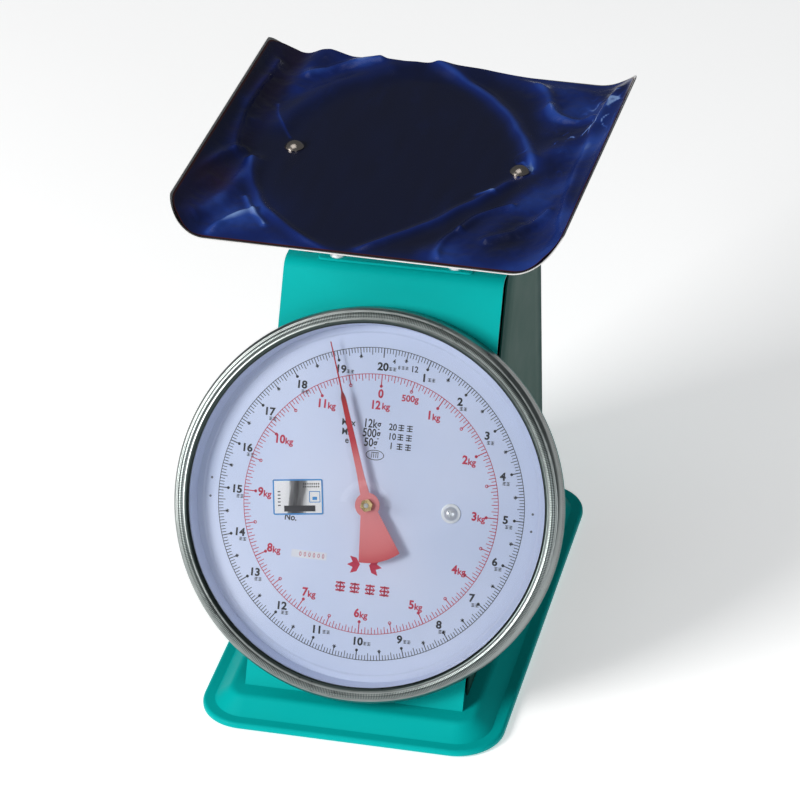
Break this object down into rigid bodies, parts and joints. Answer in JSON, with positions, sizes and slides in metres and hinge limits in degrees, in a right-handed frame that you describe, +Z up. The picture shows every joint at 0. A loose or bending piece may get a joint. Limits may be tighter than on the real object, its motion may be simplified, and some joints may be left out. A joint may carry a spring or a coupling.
{
  "type": "counter-top dial spring scale",
  "caption": "Counter-top spring scale: pressed base and wedge body carry a round leaning dial with a pointer; a flat tray with turned-up sides sits on top and sinks as it is loaded.",
  "frame": {"origin": "on the ground, under the middle of the whole object's bounding box", "axes": "+Z up, -Y is the side the dial faces, +X to the right of someone reading the dial"},
  "size_m": [0.2551, 0.3317, 0.3257],
  "materials": {
    "teal_enamel": "gloss enamel",
    "inner_steel": "dark primer",
    "steel": "satin",
    "tray_steel": "bright rolled stainless",
    "zinc": "bright zinc plate",
    "bezel_chrome": "knurled chrome plate",
    "dial_white": "gloss white enamel",
    "cover_glass": "clear polished",
    "pointer_red": "gloss red paint",
    "brass": "machined",
    "film": "thin glossy stretch film",
    "rubber": "matt",
    "sticker": "silver foil label",
    "label": "plain white label",
    "knob_black": "moulded",
    "spring_steel": "oiled"
  },
  "bodies": {
    "housing": {"base_pan": "teal_enamel", "base_feet": "rubber", "front_cover": "teal_enamel", "side_panels": "teal_enamel", "rear_panel": "teal_enamel", "rear_screws": "zinc", "chassis_plates": "inner_steel", "cover_plate": "teal_enamel", "cover_screws": "zinc", "dial_pan": "dial_white", "drum_back": "bezel_chrome", "bezel_ring": "bezel_chrome", "dial_glass": "cover_glass", "dial_washer": "zinc", "dial_screw": "zinc", "seal_sticker": "sticker", "blank_label": "label", "movement_plates": "brass", "movement_pillars": "brass", "spring_hanger": "steel", "spring_top_plugs": "zinc", "main_springs": "spring_steel"},
    "carrier": {"carrier_bars": "steel", "carrier_crossbars": "steel", "rack_arm": "steel", "link_pins": "zinc", "spring_bottom_plugs": "zinc", "tray_bracket": "steel", "tray": "tray_steel", "protective_film": "film", "tray_screws": "zinc", "tray_nuts": "zinc"},
    "rack": {"rack_bar": "brass"},
    "pointer_assembly": {"pointer_arbor": "steel", "pinion": "brass", "pointer": "pointer_red", "hub_nut": "brass"},
    "upper_guide": {"upper_link": "steel"},
    "lower_guide": {"lower_link": "steel"},
    "zero_adjuster": {"zero_knob": "knob_black", "zero_spindle": "steel"}
  },
  "joints": [
    {"name": "load_travel", "type": "slide", "parent": "housing", "child": "carrier", "axis": [0, 0, -1], "range_m": [0, 0.01641], "stiffness_N_per_m": 7170, "springref_m": -0.0018, "deforming": ["main_springs"]},
    {"name": "rack_travel", "type": "slide", "parent": "housing", "child": "rack", "axis": [0, -0.4924, -0.8704], "range_m": [0, 0.0189]},
    {"name": "pointer_turn", "type": "hinge", "parent": "housing", "child": "pointer_assembly", "pos_m": [0, -0.0769, 0.1243], "axis": [0, 0.8704, -0.4924], "range_deg": [0, 360.5]},
    {"name": "upper_guide_swing", "type": "hinge", "parent": "housing", "child": "upper_guide", "pos_m": [0, 0.089, 0.205], "axis": [1, 0, 0], "range_deg": [0, 19.6]},
    {"name": "lower_guide_swing", "type": "hinge", "parent": "housing", "child": "lower_guide", "pos_m": [0, 0.089, 0.1], "axis": [1, 0, 0], "range_deg": [0, 19.6]},
    {"name": "zero_turn", "type": "hinge", "parent": "housing", "child": "zero_adjuster", "pos_m": [0, 0.041, 0.26], "axis": [0, 0, 1], "range_deg": [-180, 180]}
  ],
  "couplings": [
    {"joint": "rack_travel", "follows": "load_travel", "ratio": 1.149},
    {"joint": "pointer_turn", "follows": "load_travel", "rad_per_m": 382.99},
    {"joint": "upper_guide_swing", "follows": "load_travel", "rad_per_m": 20.634},
    {"joint": "lower_guide_swing", "follows": "load_travel", "rad_per_m": 20.634}
  ]
}
